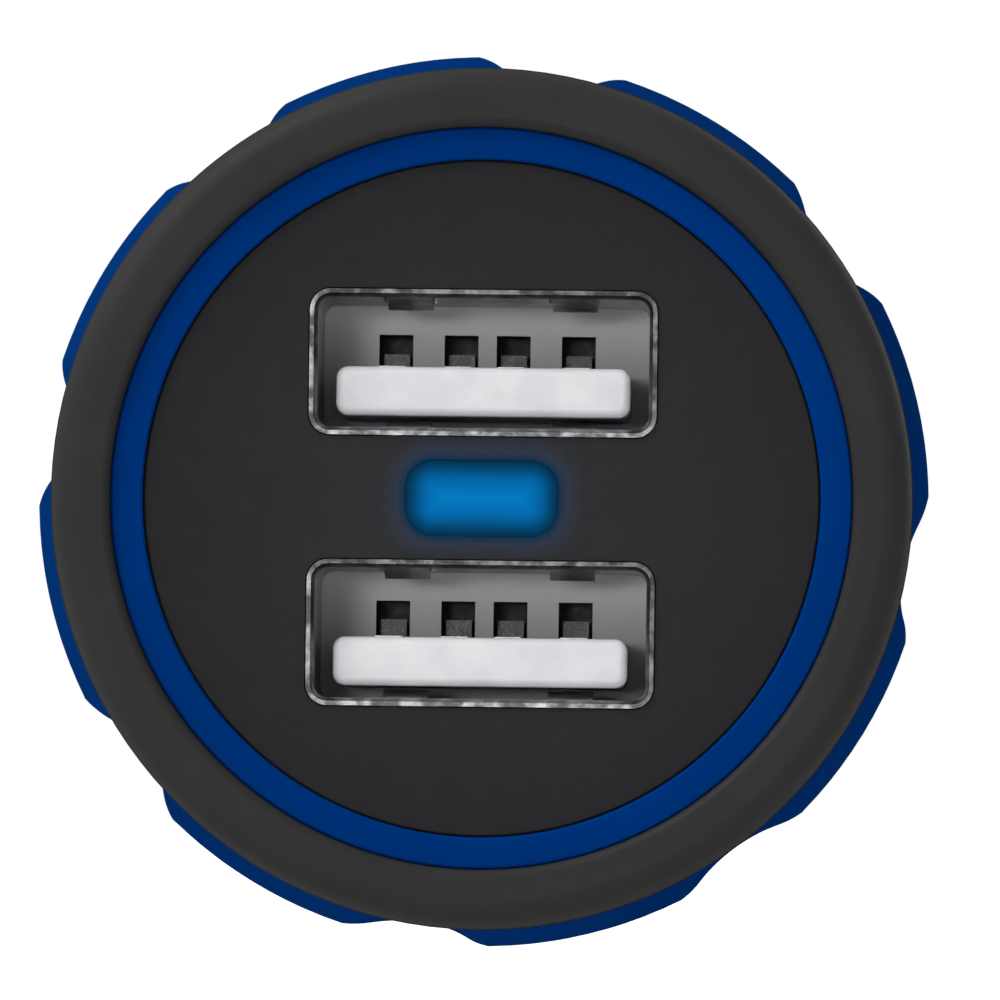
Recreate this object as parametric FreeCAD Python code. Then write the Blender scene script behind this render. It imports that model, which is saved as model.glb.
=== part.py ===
import FreeCAD
import Part
import math
import os

# A car charger with two USB-A sockets, in millimetres.
# The plug's axis runs along Y: the face with the sockets looks towards -Y and the sprung tip points to +Y.
# The sockets are stacked along Z. The origin is on the axis, in the shoulder plane that meets the rim of the
# vehicle's socket. Names that end in _y are places along the axis.

# Fits and free room
snug_gap = 0.02          # parts that are pressed together
slip_gap = 0.05          # parts that slide together by hand
hand_gap = 0.12          # round a part that drops into an opening
swing_gap = 0.3          # beside a part that moves

# USB-A sockets
port_room = 4.7          # between the two sockets
shell_width = 13.1
shell_height = 5.5
shell_wall = 0.3
shell_corner = 0.8
shell_length = 12.5
lead_in_width = 0.14     # flare inside the mouth
lead_in_depth = 0.35
shell_proud = 0.1        # mouth of the shell in front of the face
finger_width = 1.7       # spring fingers that grip the plug
finger_setback = 0.6     # from the mouth to the fingers' roots
finger_reach = 3.4       # from the root to the bend that touches the plug
finger_tail = 1.2        # from the bend to the free end
finger_sink = 0.35       # how far the bend stands in
finger_tail_sink = 0.15  # how far the free end stands in
finger_spacing = 6.25
finger_shift = 0.3       # middle of each pair, to the right of the socket's middle
finger_slit = 0.15
leg_width = 1.6          # shell's legs through the port board
leg_length = 2.0
leg_root = 0.5
insulator_depth = 3.2    # moulded block that closes the back of the shell
tongue_side_gap = 0.7    # from the tongue's sides to the shell
tongue_height = 1.84
tongue_floor_gap = 0.47  # from the tongue to the shell's lower wall
tongue_setback = 0.9     # end of the tongue behind the mouth
tongue_corner = 0.45
tongue_round = 0.3       # round of the tongue's end
contact_inner_pitch = 2.0  # between the two middle contacts
contact_outer_pitch = 2.5  # from a middle contact to the outer one
contact_width = 1.0
contact_wall = 0.25
contact_rise = 0.05      # contact strips above the tongue
contact_setback = 0.9    # from the tongue's end to the strips' ends
contact_hump = 0.75      # bend of each strip in its pocket
tail_width = 0.6
tail_length = 1.0
pocket_width = 1.3
pocket_height = 1.5
pocket_depth = 2.6

# Face
face_margin = 2.53       # face outside the sockets' corners
face_wall = 1.2
face_edge = 0.08         # chamfer round the face
face_drop = 0.25         # face behind the blue rim
face_ledge = 0.65        # step that the face's edge lies on
skirt_wall = 1.0
hook_count = 4           # snap hooks behind the sleeve's web
hook_angle = 24.0
hook_height = 0.5
hook_length = 1.0

# Indicator window and its light guide
window_width = 5.8
window_height = 2.9
window_corner = 1.1
window_flange = 0.5
window_flange_wall = 0.6
guide_width = 3.6
guide_height = 2.4
guide_corner = 0.4
guide_gap = 0.9
led_radius = 1.5
led_height = 3.2
led_dome = 1.2
led_collar = 0.15
led_collar_height = 0.8

# Bezel and grip sleeve
head_length = 24.0       # shoulder plane to the front of the bezel
rim_width = 1.2
rim_drop = 0.45          # blue rim behind the front of the bezel
rim_edge = 0.08          # chamfers of the blue rim
bezel_width = 2.26
bezel_depth = 3.6
bezel_inner_round = 0.35
bezel_crest = 0.8        # flat between the bezel's rounds
bead_height = 0.15       # snap bead under the bezel
lobe_count = 8
lobe_phase = 14.2        # degrees from +X to the middle of the first lobe
lobe_proud = 0.7         # lobes outside the bezel
sleeve_step = 0.05       # sleeve's front edge outside the bezel
sleeve_nose = 1.2
sleeve_nose_round = 3.5
sleeve_taper = 0.8       # the sleeve's radius shrinks by this towards the shoulder
sleeve_back_round = 0.5
sleeve_web = 1.6         # wall behind the bezel
sleeve_wall = 1.4        # wall under the flutes
flute_depth = 1.1
flute_radius = 4.0
flute_shoulder = 2.5
flute_run_out = 3.4      # from the flutes' back ends to the end of the sleeve

# Housing
flange_depth = 1.8
flange_inset = 0.2       # flange inside the sleeve's back end
flange_round = 1.0
cup_wall = 1.4
cup_floor = 3.6
barrel_radius = 10.4
barrel_wall = 1.4
barrel_length = 33.0
root_length = 7.0        # full-size stretch next to the shoulder
waist_drop = 0.3         # the barrel is this much thinner past the root
nose_taper = 4.0
nose_wall = 4.0
stub_wall = 1.5
stub_length = 3.6
slot_setback = 1.0       # from the root to the slots
slot_end_setback = 2.9   # from the slots to the contact plate
peg_radius = 0.8
peg_length = 1.6
peg_root = 1.0
rib_width = 1.5
rib_depth = 1.2
rib_edge = 0.3           # ribs inside the power board's edge
rear_rib_setback = 2.0   # from the slots' start to the rear ribs
front_rib_setback = 2.6  # from the slots' end back to the front ribs

# Boards
board_wall = 1.2
board_rim = 0.55         # room round the port board
ledge_wall = 1.0         # ribs in the cup on both sides of the port board
ledge_reach = 1.0
power_board_half = 8.0   # half width in the head

# Tip, spring and nose nut
tip_radius = 3.1
tip_reach = 4.2          # tip in front of the nut
tip_round = 2.2
tip_catch = 1.3          # flange outside the tip
tip_flange = 1.2
stem_radius = 1.5
stem_length = 2.4
spring_wire = 0.45
spring_radius = 2.9
spring_turns = 5
spring_sides = 8         # the wire's section is an octagon
plate_wall = 0.5
plate_overlap = 0.9
nut_length = 5.0
nut_wall = 1.95
nut_lip = 1.4
nut_band = 1.2
nut_slope = 1.8
nut_round = 0.6
notch_count = 12
notch_radius = 0.55

# Ground contacts
leaf_wall = 0.4
leaf_width = 4.8
leaf_proud = 0.8         # top of the bow outside the barrel
leaf_flat = 4.8
leaf_round = 3.0
leaf_foot = 1.2
leaf_foot_round = 0.5
leaf_foot_setback = 2.8  # foot behind the slot
leaf_rise_setback = 0.5  # from the slot's start to the bow
leaf_end_gap = 0.4
leaf_swing = 7.5         # degrees that a leaf turns about its foot when it is pressed in

# Parts on the power board
part_gap = 0.9
coil_radius = 3.4
coil_core_radius = 1.7
coil_height = 4.6
coil_flange = 0.9
coil_inset = 0.3         # winding inside the flanges' edges
output_cap_radius = 2.5
output_cap_height = 6.0
input_cap_radius = 3.0
input_cap_length = 9.5
cap_edge = 0.4           # chamfers of the cans
header_count = 4
header_pitch = 2.54
header_depth = 2.5
header_pin = 0.64
header_reach = 1.2
header_poke = 0.8
chip_length = 4.9
chip_width = 3.9
chip_height = 1.5
chip_stand = 0.1
chip_legs = 4
chip_leg_pitch = 1.27
chip_leg_width = 0.4
chip_leg_reach = 0.9
chip_leg_wall = 0.25
chip_leg_knee = 0.4
diode_length = 2.7
diode_width = 4.4
diode_height = 2.1
ceramic_count = 3
ceramic_pitch = 1.9
ceramic_length = 1.6
ceramic_width = 0.8

# Sizes and places that follow from the ones above
port_pitch = shell_height + port_room
port_heights = (port_pitch / 2, -port_pitch / 2)
port_reach = math.hypot(shell_width / 2, (port_pitch + shell_height) / 2)
face_radius = port_reach + face_margin
face_seat_radius = face_radius + snug_gap
ledge_radius = face_radius - face_ledge
skirt_radius = ledge_radius - slip_gap
rim_radius = face_seat_radius + rim_width
bezel_bore = rim_radius + snug_gap
tongue_width = shell_width - 2 * (shell_wall + tongue_side_gap)
tongue_drop = shell_height / 2 - shell_wall - tongue_floor_gap - tongue_height / 2
inner_offset = contact_inner_pitch / 2
outer_offset = inner_offset + contact_outer_pitch
contact_offsets = (-outer_offset, -inner_offset, inner_offset, outer_offset)
bezel_radius = bezel_bore + bezel_width
sleeve_front_radius = bezel_radius + sleeve_step
sleeve_radius = bezel_radius + lobe_proud
sleeve_back_radius = sleeve_radius - sleeve_taper
flute_floor = sleeve_radius - flute_depth
sleeve_bore = flute_floor - sleeve_wall
cup_radius = sleeve_bore - slip_gap
cup_bore = cup_radius - cup_wall
flange_radius = sleeve_back_radius - flange_inset
port_board_radius = cup_bore - board_rim
barrel_bore = barrel_radius - barrel_wall
waist_radius = barrel_radius - waist_drop
tip_flange_radius = tip_radius + tip_catch
nose_bore = tip_flange_radius + swing_gap
stub_radius = nose_bore + stub_wall
nut_bore = stub_radius + slip_gap
nose_radius = nut_bore + nut_wall
nut_front_radius = nose_radius - nut_slope

bezel_front_y = -head_length
bezel_back_y = bezel_front_y + bezel_depth
rim_y = bezel_front_y + rim_drop
face_y = rim_y + face_drop
face_back_y = face_y + face_wall
web_back_y = bezel_back_y + sleeve_web
hook_back_y = web_back_y + hook_length
flange_front_y = -flange_depth
mouth_y = face_y - shell_proud
shell_back_y = mouth_y + shell_length
insulator_y = shell_back_y - insulator_depth
pocket_back_y = insulator_y + pocket_depth
tongue_y = mouth_y + tongue_setback
strip_y = tongue_y + contact_setback
port_board_back_y = shell_back_y + board_wall
nose_wall_y = barrel_length - nose_wall
plate_y = nose_wall_y - plate_wall
stub_end_y = barrel_length + stub_length
nut_end_y = barrel_length + nut_length
lip_y = nut_end_y - nut_lip
tip_flange_y = lip_y - tip_flange
tip_end_y = nut_end_y + tip_reach
slot_start_y = root_length + slot_setback
slot_end_y = plate_y - slot_end_setback
foot_y = slot_start_y - leaf_foot_setback
leaf_end_y = slot_end_y - swing_gap - leaf_end_gap

# A leaf stands as far out inside the barrel as its corners allow
leaf_root_x = math.sqrt(barrel_bore ** 2 - (leaf_width / 2) ** 2) - leaf_wall / 2 - hand_gap
leaf_top_x = barrel_radius + leaf_proud - leaf_wall / 2
foot_end_x = leaf_root_x - leaf_foot
leaf_sweep = (leaf_end_y - foot_y) * math.sin(math.radians(leaf_swing))
board_neck_half = leaf_root_x - leaf_wall / 2 - leaf_sweep - swing_gap
rib_x = board_neck_half - rib_edge - rib_width
board_top = board_wall / 2
header_z = board_top + header_depth / 2
header_end_y = port_board_back_y + header_depth + header_reach
coil_y = header_end_y + part_gap + coil_radius
output_cap_y = coil_y + coil_radius + part_gap + output_cap_radius
input_cap_y = slot_start_y + rear_rib_setback + rib_depth + 2 * part_gap
chip_y = coil_y - chip_length / 2
diode_y = chip_y + chip_length + 2 * part_gap
FAR = 100.0              # beyond the whole part, for cutting


def joined(start, end):
    return Part.LineSegment(start, end).toShape()


def rounded_edges(points, closed):
    """Edges through (x, y) points in the XY plane. A third value rounds that corner by its radius."""
    corners = []
    for i, (x, y, *radius) in enumerate(points):
        here = FreeCAD.Vector(x, y, 0)
        if not radius:
            corners.append((here, None, here))
            continue
        before = FreeCAD.Vector(*points[i - 1][:2], 0)
        after = FreeCAD.Vector(*points[(i + 1) % len(points)][:2], 0)
        back = (before - here).normalize()
        ahead = (after - here).normalize()
        half_angle = back.getAngle(ahead) / 2
        reach = radius[0] / math.tan(half_angle)
        inward = (back + ahead).normalize()
        middle = here + inward * (radius[0] / math.sin(half_angle) - radius[0])
        corners.append((here + back * reach, middle, here + ahead * reach))
    edges = []
    for i, (start, middle, end) in enumerate(corners):
        if middle:
            edges.append(Part.Arc(start, middle, end).toShape())
        following = corners[(i + 1) % len(corners)][0]
        if closed or i < len(corners) - 1:
            edges.append(joined(end, following))
    return edges


def turned(*points):
    """A solid of revolution about the plug's axis, from a closed outline of (radius, y) points."""
    outline = Part.Face(Part.Wire(rounded_edges(points, True)))
    return outline.revolve(FreeCAD.Vector(), FreeCAD.Vector(0, 1, 0), 360)


def rod(radius, y0, y1, x=0.0, z=0.0):
    """A cylinder along the plug's axis."""
    return Part.makeCylinder(radius, y1 - y0, FreeCAD.Vector(x, y0, z), FreeCAD.Vector(0, 1, 0))


def post(radius, height, y, z, x=0.0, direction=1):
    """A cylinder that stands on height z and rises, or hangs with direction -1."""
    return Part.makeCylinder(radius, height, FreeCAD.Vector(x, y, z), FreeCAD.Vector(0, 0, direction))


def block(x_range, y_range, z_range):
    """A box between pairs of coordinates, given in either order."""
    low = [min(pair) for pair in (x_range, y_range, z_range)]
    size = [abs(pair[1] - pair[0]) for pair in (x_range, y_range, z_range)]
    return Part.makeBox(*size, FreeCAD.Vector(*low))


def span(half, middle=0.0):
    return middle - half, middle + half


def bar(width, height, corner, y_range, z=0.0):
    """A bar along the plug's axis with a rectangular section and rounded corners."""
    solid = block(span(width / 2), y_range, span(height / 2, z))
    lengthwise = [e for e in solid.Edges if abs(e.tangentAt(e.FirstParameter).y) > 0.5]
    return solid.makeFillet(corner, lengthwise)


def round_axis(shape, count, first_angle=0.0):
    """Copies of a shape spaced evenly round the plug's axis. Angles run from +X towards +Z."""
    copies = []
    for i in range(count):
        copy = shape.copy()
        copy.rotate(FreeCAD.Vector(), FreeCAD.Vector(0, -1, 0), first_angle + 360.0 * i / count)
        copies.append(copy)
    return copies


def snap_bead(gap=0.0):
    """Low ring on the blue rim that snaps into the bezel. With a gap it cuts the bezel's groove."""
    middle = (rim_y + bezel_back_y) / 2
    height = bead_height + gap
    root = rim_radius - rim_edge
    return turned((root, middle - 2 * height), (rim_radius, middle - 2 * height),
                  (rim_radius + height, middle),
                  (rim_radius, middle + 2 * height), (root, middle + 2 * height))


def bezel_ring():
    """Soft ring with a rounded front, snapped over the sleeve's rim."""
    outer_round = bezel_width - bezel_inner_round - bezel_crest
    ring = turned((bezel_bore, bezel_back_y), (bezel_bore, bezel_front_y, bezel_inner_round),
                  (bezel_radius, bezel_front_y, outer_round), (bezel_radius, bezel_back_y))
    return ring.cut(snap_bead(slip_gap))


def flute_cutter():
    """One hollow between two lobes, at angle 0. It climbs towards the sleeve's back end and fades out there."""
    hollow_x = flute_floor + flute_radius
    shoulder_arm = sleeve_radius - flute_shoulder
    hollow_arm = flute_radius + flute_shoulder
    half_angle = math.acos((shoulder_arm ** 2 + hollow_x ** 2 - hollow_arm ** 2) / (2 * shoulder_arm * hollow_x))
    shoulder = FreeCAD.Vector(math.cos(half_angle), math.sin(half_angle), 0) * shoulder_arm
    hollow = FreeCAD.Vector(hollow_x, 0, 0)
    floor = FreeCAD.Vector(flute_floor, 0, 0)
    top = shoulder * (sleeve_radius / shoulder_arm)
    meet = shoulder + (hollow - shoulder) * (flute_shoulder / hollow_arm)
    crown = shoulder + ((top + meet) / 2 - shoulder).normalize() * flute_shoulder
    outside = top + FreeCAD.Vector(flute_shoulder, 0, 0)

    def below(point):
        return FreeCAD.Vector(point.x, -point.y, 0)

    section = Part.Face(Part.Wire([
        joined(outside, top),
        Part.Arc(top, crown, meet).toShape(),
        Part.Arc(meet, floor, below(meet)).toShape(),
        Part.Arc(below(meet), below(crown), below(top)).toShape(),
        joined(below(top), below(outside)),
        joined(below(outside), outside),
    ]))
    section.rotate(FreeCAD.Vector(), FreeCAD.Vector(1, 0, 0), 90)
    run = flange_front_y - flute_run_out - bezel_back_y
    faded_radius = sleeve_radius - sleeve_taper * run / (flange_front_y - bezel_back_y)
    climb = FreeCAD.Vector((faded_radius - flute_floor) / run, 1, 0)
    section.translate(FreeCAD.Vector(0, bezel_back_y, 0) - climb * sleeve_web)
    return section.extrude(climb * (run + 2 * (flute_run_out + sleeve_web)))


def grip_sleeve():
    """Blue sleeve: its rim shows inside the bezel, its lobed body is the grip behind the bezel."""
    body = turned(
        (face_seat_radius, rim_y + rim_edge),
        (face_seat_radius + rim_edge, rim_y),
        (rim_radius - rim_edge, rim_y),
        (rim_radius, rim_y + rim_edge),
        (rim_radius, bezel_back_y),
        (sleeve_front_radius, bezel_back_y),
        (sleeve_radius, bezel_back_y + sleeve_nose, sleeve_nose_round),
        (sleeve_back_radius, flange_front_y, sleeve_back_round),
        (sleeve_bore, flange_front_y),
        (sleeve_bore, web_back_y),
        (ledge_radius, web_back_y),
        (ledge_radius, face_back_y),
        (face_seat_radius, face_back_y),
    )
    flutes = round_axis(flute_cutter(), lobe_count, lobe_phase + 180.0 / lobe_count)
    return body.fuse(snap_bead()).cut(flutes)


def face_plate():
    """Dark disc with both socket openings and the window, and a skirt that hooks behind the sleeve's web."""
    skirt_bore = skirt_radius - skirt_wall
    plate = turned((0.0, face_y), (face_radius - face_edge, face_y), (face_radius, face_y + face_edge),
                   (face_radius, face_back_y),
                   (skirt_radius, face_back_y), (skirt_radius, hook_back_y), (skirt_bore, hook_back_y),
                   (skirt_bore, face_back_y), (0.0, face_back_y))
    inside = skirt_radius - skirt_wall / 2
    profile = [(inside, web_back_y), (skirt_radius + hook_height, web_back_y), (skirt_radius, hook_back_y),
               (inside, hook_back_y)]
    hook = Part.Face(Part.Wire(rounded_edges(profile, True)))
    hook = hook.revolve(FreeCAD.Vector(), FreeCAD.Vector(0, -1, 0), hook_angle)
    plate = plate.fuse(round_axis(hook, hook_count, 180.0 / hook_count - hook_angle / 2))
    through = (bezel_front_y, web_back_y)
    openings = [bar(shell_width + 2 * slip_gap, shell_height + 2 * slip_gap, shell_corner + slip_gap, through, z)
                for z in port_heights]
    return plate.cut(openings + [bar(window_width, window_height, window_corner, through)])


def lead_in(z):
    """The flare inside a shell's mouth, to be cut from the shell."""
    sections = []
    for wider, y in ((lead_in_width, mouth_y), (0.0, mouth_y + lead_in_depth)):
        width = shell_width - 2 * (shell_wall - wider)
        height = shell_height - 2 * (shell_wall - wider)
        slab = bar(width, height, shell_corner - shell_wall + wider, (y, y + shell_wall), z)
        sections.append(min(slab.Faces, key=lambda f: f.CenterOfMass.y).OuterWire)
    return Part.makeLoft(sections, True)


def usb_shell(z):
    """Folded steel shell of one socket, with spring fingers above and below and two legs for the board."""
    inner_width = shell_width - 2 * shell_wall
    inner_height = shell_height - 2 * shell_wall
    inner_corner = shell_corner - shell_wall
    shell = bar(shell_width, shell_height, shell_corner, (mouth_y, shell_back_y), z)
    shell = shell.cut([bar(inner_width, inner_height, inner_corner, (-FAR, FAR), z), lead_in(z)])
    root_y = mouth_y + finger_setback
    bend_y = root_y + finger_reach
    free_y = bend_y + finger_tail
    inner = inner_height / 2
    outer = shell_height / 2
    profile = [(root_y, outer), (bend_y, outer - finger_sink), (free_y, outer - finger_tail_sink),
               (free_y, inner - finger_tail_sink), (bend_y, inner - finger_sink), (root_y, inner)]
    for side in (1, -1):
        for x in span(finger_spacing / 2, finger_shift):
            slits = block(span(finger_width / 2 + finger_slit, x), (root_y, free_y + finger_slit),
                          (z + side * (inner - shell_wall), z + side * (outer + shell_wall)))
            left = x - finger_width / 2
            points = [FreeCAD.Vector(left, y, z + side * height) for y, height in profile]
            finger = Part.Face(Part.makePolygon(points + points[:1])).extrude(FreeCAD.Vector(finger_width, 0, 0))
            shell = shell.cut(slits).fuse(finger)
        leg = block((side * inner_width / 2, side * shell_width / 2),
                    (shell_back_y - leg_root, shell_back_y + leg_length), span(leg_width / 2, z))
        shell = shell.fuse(leg)
    return shell.removeSplitter()


def tongue_top(z):
    """Height of the tongue's upper face in the socket centred on z."""
    return z - tongue_drop + tongue_height / 2


def usb_insulator(z):
    """White moulding of one socket: a block that closes the shell, and the tongue with its contact grooves."""
    top = tongue_top(z)
    strip = (top + contact_rise - contact_wall, top + contact_rise)
    body = bar(shell_width - 2 * shell_wall, shell_height - 2 * shell_wall, shell_corner - shell_wall,
               (insulator_y, shell_back_y), z)
    tongue = bar(tongue_width, tongue_height, tongue_corner, (tongue_y, pocket_back_y), z - tongue_drop)
    end = min(tongue.Faces, key=lambda f: f.CenterOfMass.y)
    body = body.fuse(tongue.makeFillet(tongue_round, end.Edges))
    for x in contact_offsets:
        pocket = block(span(pocket_width / 2, x), (insulator_y - shell_wall, pocket_back_y),
                       (strip[0], top + pocket_height))
        groove = block(span(contact_width / 2, x), (strip_y, shell_back_y + tail_length), strip)
        body = body.cut([pocket, groove])
    return body.removeSplitter()


def usb_contacts(z):
    """Four contact strips of one socket, each with a hump in its pocket and a tail through the port board."""
    top = tongue_top(z) + contact_rise
    hump_y = insulator_y + pocket_depth / 2
    strips = []
    for x in contact_offsets:
        strip = block(span(contact_width / 2, x), (strip_y, shell_back_y), (top - contact_wall, top))
        hump = block(span(contact_width / 2, x), (hump_y, hump_y + contact_wall),
                     (top - contact_wall, top + contact_hump))
        tail = block(span(tail_width / 2, x), (shell_back_y - leg_root, port_board_back_y + tail_length),
                     (top - contact_wall, top))
        strips.append(strip.fuse([hump, tail]).removeSplitter())
    return Part.makeCompound(strips)


def indicator_window():
    """Clear light guide: a lens in the face's window, a flange behind the face and a stem towards the LED."""
    flange_back_y = face_back_y + window_flange_wall
    stem_end_y = shell_back_y - led_height - guide_gap
    lens = bar(window_width - 2 * slip_gap, window_height - 2 * slip_gap, window_corner - slip_gap,
               (face_y, face_back_y))
    flange = bar(window_width + 2 * window_flange, window_height + 2 * window_flange, window_corner + window_flange,
                 (face_back_y, flange_back_y))
    stem = bar(guide_width, guide_height, guide_corner, (flange_back_y, stem_end_y))
    return lens.fuse([flange, stem])


def status_led():
    """LED on the port board, in line with the light guide."""
    top_y = shell_back_y - led_height
    collar_y = shell_back_y - led_collar_height
    collar_radius = led_radius + led_collar
    return turned((0.0, top_y), (led_radius, top_y, led_dome), (led_radius, collar_y), (collar_radius, collar_y),
                  (collar_radius, shell_back_y), (0.0, shell_back_y))


def header_places():
    """Places of the link pins across the boards."""
    return [(i - (header_count - 1) / 2) * header_pitch for i in range(header_count)]


def port_board():
    """Round board behind the sockets, slotted for the shells' legs and drilled for tails and link pins."""
    board = rod(port_board_radius, shell_back_y, port_board_back_y)
    holes = []
    for z in port_heights:
        for slot_x in ((shell_width - shell_wall) / 2, (shell_wall - shell_width) / 2):
            holes.append(block(span(shell_wall / 2 + hand_gap, slot_x), (-FAR, FAR),
                               span(leg_width / 2 + hand_gap, z)))
        tail_z = tongue_top(z) + contact_rise - contact_wall / 2
        holes += [rod(tail_width / 2 + hand_gap, -FAR, FAR, x, tail_z) for x in contact_offsets]
    hole_radius = header_pin * math.sqrt(0.5) + slip_gap
    holes += [rod(hole_radius, -FAR, FAR, x, header_z) for x in header_places()]
    return board.cut(holes)


def power_board():
    """Converter board in the split plane, narrow between the ground contacts, cut away for their feet."""
    shoulder_y = foot_y + leaf_wall / 2 + swing_gap
    thickness = span(board_wall / 2)
    board = block(span(power_board_half), (port_board_back_y, shoulder_y), thickness)
    board = board.fuse(block(span(board_neck_half), (port_board_back_y, plate_y), thickness))
    for side in (1, -1):
        foot_room = block((side * (foot_end_x - hand_gap), side * FAR),
                          (foot_y - leaf_wall / 2 - swing_gap, shoulder_y), thickness)
        board = board.cut(foot_room)
    return board.removeSplitter()


def link_header():
    """Plastic strip in the corner between the two boards, which carries the link pins."""
    strip = block(span(header_count * header_pitch / 2), (port_board_back_y, port_board_back_y + header_depth),
                  (board_top, board_top + header_depth))
    holes = [block(span(header_pin / 2, x), (-FAR, FAR), span(header_pin / 2, header_z)) for x in header_places()]
    return strip.cut(holes)


def link_pins():
    """Square pins that go through the port board and the strip, then turn down onto the power board."""
    half = header_pin / 2
    pins = []
    for x in header_places():
        straight = block(span(half, x), (shell_back_y - header_poke, header_end_y), span(half, header_z))
        down = block(span(half, x), (header_end_y - header_pin, header_end_y), (board_top, header_z + half))
        pins.append(straight.fuse(down).removeSplitter())
    return Part.makeCompound(pins)


def housing_body():
    """The black housing before it is split: cup, flange, barrel and the stub under the nut."""
    body = turned(
        (cup_bore, web_back_y),
        (cup_radius, web_back_y),
        (cup_radius, flange_front_y),
        (flange_radius, flange_front_y),
        (flange_radius, 0.0, flange_round),
        (barrel_radius, 0.0),
        (barrel_radius, root_length),
        (waist_radius, root_length + waist_drop),
        (waist_radius, barrel_length - nose_taper),
        (nose_radius, barrel_length),
        (stub_radius, barrel_length),
        (stub_radius, stub_end_y),
        (nose_bore, stub_end_y),
        (nose_bore, nose_wall_y),
        (barrel_bore, nose_wall_y),
        (barrel_bore, -cup_floor),
        (cup_bore, -cup_floor),
    )
    ledge_bore = port_board_radius - ledge_reach
    ledge_root = cup_bore + cup_wall / 2
    for y0, y1 in ((shell_back_y - ledge_wall, shell_back_y), (port_board_back_y, port_board_back_y + ledge_wall)):
        body = body.fuse(turned((ledge_bore, y0), (ledge_root, y0), (ledge_root, y1), (ledge_bore, y1)))
    return body.cut(block((-FAR, FAR), (slot_start_y, slot_end_y), span(leaf_width / 2 + swing_gap)))


def board_ribs(side):
    """Ribs of one half that meet the power board from above or below."""
    root = barrel_bore + barrel_wall / 2
    ribs = []
    for y in (slot_start_y + rear_rib_setback, slot_end_y - front_rib_setback):
        inside = rod(root, y, y + rib_depth)
        for x_side in (1, -1):
            rib = block((x_side * rib_x, x_side * (rib_x + rib_width)), (y, y + rib_depth),
                        (side * board_top, side * root))
            ribs.append(rib.common(inside))
    return ribs


def housing_half(side):
    """Upper (1) or lower (-1) half of the housing. Pegs on the upper half line the two up."""
    half = housing_body().common(block((-FAR, FAR), (-FAR, FAR), (0.0, side * FAR)))
    half = half.fuse(board_ribs(side))
    peg_x = (barrel_bore + cup_radius) / 2
    peg_y = -cup_floor / 2
    for x in (-peg_x, peg_x):
        if side > 0:
            half = half.fuse(post(peg_radius, peg_length + peg_root, peg_y, peg_root, x, -1))
        else:
            half = half.cut(post(peg_radius + slip_gap, peg_length + hand_gap, peg_y, 0.0, x, -1))
    return half.removeSplitter()


def nose_nut():
    """Notched nut that clamps the two halves at the nose and keeps the tip in."""
    hole = tip_radius + hand_gap
    nut = turned(
        (nut_bore, barrel_length),
        (nose_radius, barrel_length),
        (nose_radius, barrel_length + nut_band),
        (nut_front_radius, nut_end_y, nut_round),
        (hole, nut_end_y),
        (hole, lip_y),
        (nut_bore, lip_y),
    )
    notch = rod(notch_radius, barrel_length + nut_band, nut_end_y + nut_lip, nose_radius)
    return nut.cut(round_axis(notch, notch_count))


def tip_contact():
    """Sprung centre contact: a domed pin, a flange behind the nut's lip and a stem that guides the spring."""
    return turned(
        (0.0, tip_flange_y - stem_length),
        (stem_radius, tip_flange_y - stem_length),
        (stem_radius, tip_flange_y),
        (tip_flange_radius, tip_flange_y),
        (tip_flange_radius, lip_y),
        (tip_radius, lip_y),
        (tip_radius, tip_end_y, tip_round),
        (0.0, tip_end_y),
    )


def tip_spring():
    """Compression spring between the contact plate and the tip's flange."""
    start_y = nose_wall_y + spring_wire / 2
    height = tip_flange_y - spring_wire / 2 - start_y
    helix = Part.makeHelix(height / spring_turns, height, spring_radius)
    corner_radius = spring_wire / 2 / math.cos(math.pi / spring_sides)
    corners = []
    for i in range(spring_sides):
        angle = 2 * math.pi * (i + 0.5) / spring_sides
        reach = spring_radius + corner_radius * math.cos(angle)
        corners.append(FreeCAD.Vector(reach, 0, corner_radius * math.sin(angle)))
    section = Part.makePolygon(corners + corners[:1])
    coil = Part.Wire(helix).makePipeShell([section], True, True)
    coil.rotate(FreeCAD.Vector(), FreeCAD.Vector(1, 0, 0), -90)
    coil.translate(FreeCAD.Vector(0, start_y, 0))
    return coil


def contact_plate():
    """Brass disc at the end of the power board, behind the nose wall, that the spring stands on."""
    return rod(nose_bore + plate_overlap, plate_y, nose_wall_y)


def ground_contact(side):
    """Bowed leaf in the right (1) or left (-1) slot of the barrel, on a foot beside the power board."""
    middle_y = (slot_start_y + slot_end_y) / 2
    path = [
        (foot_end_x, foot_y),
        (leaf_root_x, foot_y, leaf_foot_round),
        (leaf_root_x, slot_start_y + leaf_rise_setback, leaf_round),
        (leaf_top_x, middle_y - leaf_flat / 2, leaf_round),
        (leaf_top_x, middle_y + leaf_flat / 2, leaf_round),
        (leaf_root_x, leaf_end_y),
    ]
    line = Part.Wire(rounded_edges(path, False))
    faces = [line.makeOffset2D(offset, join=0, openResult=True) for offset in (leaf_wall / 2, -leaf_wall / 2)]
    ends = []
    for x, y in (path[0], path[-1]):
        end = FreeCAD.Vector(x, y, 0)
        nearest = [min(face.Vertexes, key=lambda v: v.Point.distanceToPoint(end)).Point for face in faces]
        ends.append(joined(*nearest))
    section = Part.Face(Part.Wire(Part.__sortEdges__(faces[0].Edges + faces[1].Edges + ends)))
    section.translate(FreeCAD.Vector(0, 0, -leaf_width / 2))
    leaf = section.extrude(FreeCAD.Vector(0, 0, leaf_width))
    return leaf if side > 0 else leaf.mirror(FreeCAD.Vector(), FreeCAD.Vector(1, 0, 0))


def inductor_core():
    """Ferrite bobbin of the choke, standing on the power board."""
    core = post(coil_core_radius, coil_height, coil_y, board_top)
    foot = post(coil_radius, coil_flange, coil_y, board_top)
    cap = post(coil_radius, coil_flange, coil_y, board_top + coil_height - coil_flange)
    return core.fuse([foot, cap]).removeSplitter()


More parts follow.
